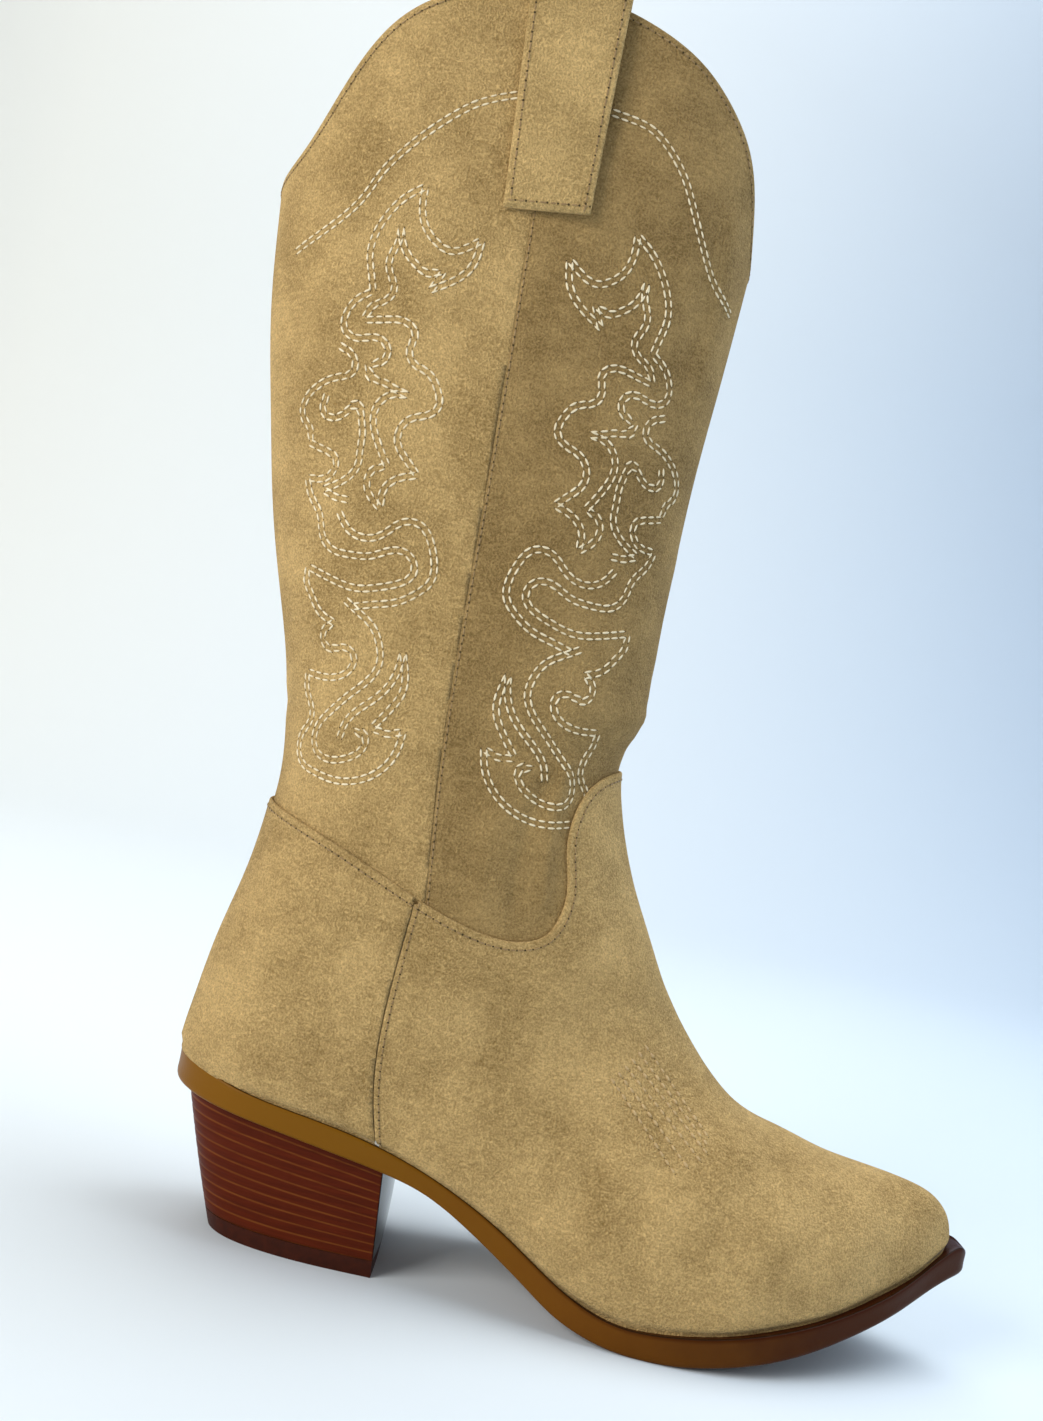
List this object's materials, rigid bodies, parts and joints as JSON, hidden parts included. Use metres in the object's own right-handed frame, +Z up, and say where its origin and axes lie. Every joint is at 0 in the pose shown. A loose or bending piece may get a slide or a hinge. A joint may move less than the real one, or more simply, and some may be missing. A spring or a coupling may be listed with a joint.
{
  "type": "cowboy boot",
  "caption": "Right pull-on western boot with a pointed toe, scalloped embroidered shaft, pull straps and a stacked-look heel.",
  "frame": {"origin": "on the floor under the middle of the boot's bounding box", "axes": "+X towards the toe, -Y to the outer side of the foot, +Z up the shaft"},
  "size_m": [0.3035, 0.094, 0.4276],
  "materials": {
    "suede": "napped microfibre suede, matt",
    "interlining": "matt",
    "lining": "brushed knit",
    "sock": "matt",
    "foam": "foam",
    "board": "fibre board",
    "steel": "zinc plated",
    "outsole": "satin caramel rubber",
    "heel_cover": "printed stacked-leather look",
    "heel_plastic": "gloss black",
    "top_piece": "satin"
  },
  "bodies": {
    "root": {"vamp": "suede", "counter_cover": "suede", "shaft_front_panel": "suede", "shaft_back_panel": "suede", "pull_strap_lateral": "suede", "pull_strap_medial": "suede", "counter_stiffener": "board", "toe_puff": "board", "vamp_interlining": "interlining", "shaft_lining_front": "lining", "shaft_lining_back": "lining", "vamp_lining": "lining", "quarter_lining": "lining", "sock_lining": "sock", "heel_pad": "foam", "insole_board": "board", "bottom_filler": "foam", "shank": "steel", "shank_rivets": "steel", "heel_screw": "steel", "heel_nails": "steel", "top_piece_pins": "steel", "outsole": "outsole", "heel_wrap": "heel_cover", "heel_core": "heel_plastic", "heel_top_piece": "top_piece"}
  },
  "joints": []
}
